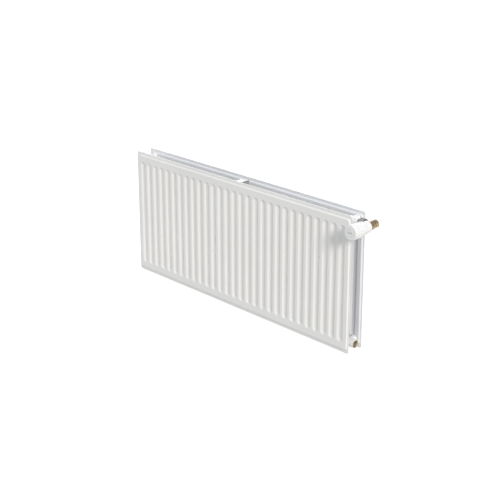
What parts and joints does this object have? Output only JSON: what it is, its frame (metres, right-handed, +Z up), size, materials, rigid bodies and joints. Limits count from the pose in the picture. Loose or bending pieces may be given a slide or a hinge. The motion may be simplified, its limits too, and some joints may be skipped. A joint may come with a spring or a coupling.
{
  "type": "panel radiator with thermostatic valve",
  "caption": "Wall-hung double panel radiator of ribbed pressed steel sheets on corner tees, with a thermostatic valve and turning head on the top right port.",
  "frame": {"origin": "midway between the two upper wall lugs, in the plane of the faces that they turn to the wall, at the lugs' mid height", "axes": "+X along the length to the valve's end, +Y to the wall, +Z up"},
  "size_m": [1.0827, 0.1379, 0.45],
  "materials": {
    "panel_enamel": "smooth white baked enamel, semi gloss",
    "frame_enamel": "white baked enamel over welded steel",
    "lug_enamel": "white baked enamel",
    "nickel_plate": "polished nickel plate",
    "brass": "machined brass",
    "steel": "bright stainless steel",
    "rubber": "black sealing rubber",
    "head_plastic": "white moulded plastic",
    "grip_plastic": "white moulded plastic, satin",
    "cap_plastic": "off-white moulded plastic"
  },
  "bodies": {
    "radiator": {"front_panel_front_sheet": "panel_enamel", "front_panel_back_sheet": "panel_enamel", "rear_panel_front_sheet": "panel_enamel", "rear_panel_back_sheet": "panel_enamel", "top_left_tee": "frame_enamel", "bottom_left_tee": "frame_enamel", "top_right_tee": "frame_enamel", "bottom_right_tee": "frame_enamel", "top_spacer_strap": "frame_enamel", "bottom_spacer_strap": "frame_enamel", "upper_left_wall_lug": "lug_enamel", "upper_right_wall_lug": "lug_enamel", "lower_left_wall_lug": "lug_enamel", "lower_right_wall_lug": "lug_enamel", "air_vent_plug": "nickel_plate", "air_vent_seal": "rubber", "blanking_plug": "nickel_plate", "blanking_plug_seal": "rubber", "valve_tailpiece": "nickel_plate", "union_nut": "nickel_plate", "valve_body": "brass", "inlet_nut": "brass", "inlet_olive": "brass", "bonnet_insert": "brass", "gland_screw": "brass", "spindle_seal": "rubber", "return_spring": "steel", "head_ring_nut": "head_plastic", "head_base": "head_plastic", "grip_snap_ring": "steel"},
    "grip": {"head_grip": "grip_plastic", "grip_front_cap": "cap_plastic"},
    "sensor": {"sensor_capsule": "steel", "overtravel_spring": "steel", "push_rod": "cap_plastic"},
    "spindle": {"valve_spindle": "steel", "valve_disc": "rubber"},
    "bleed_screw": {"bleed_screw": "brass"}
  },
  "joints": [
    {"name": "grip_turn", "type": "hinge", "parent": "radiator", "child": "grip", "pos_m": [0.544, -0.046, 0.035], "axis": [0, -1, 0], "range_deg": [-162, 108]},
    {"name": "sensor_slide", "type": "slide", "parent": "radiator", "child": "sensor", "axis": [0, -1, 0], "range_m": [-0.00181, 0.00121]},
    {"name": "spindle_slide", "type": "slide", "parent": "radiator", "child": "spindle", "axis": [0, -1, 0], "range_m": [-0.00181, 0.00121], "deforming": ["return_spring"]},
    {"name": "bleed_screw_turn", "type": "hinge", "parent": "radiator", "child": "bleed_screw", "pos_m": [-0.51, -0.046, 0.035], "axis": [-1, 0, 0], "range_deg": [0, 360]}
  ],
  "couplings": [
    {"joint": "sensor_slide", "follows": "grip_turn", "m_per_rad": 0.00063662},
    {"joint": "spindle_slide", "follows": "grip_turn", "m_per_rad": 0.00063662}
  ]
}
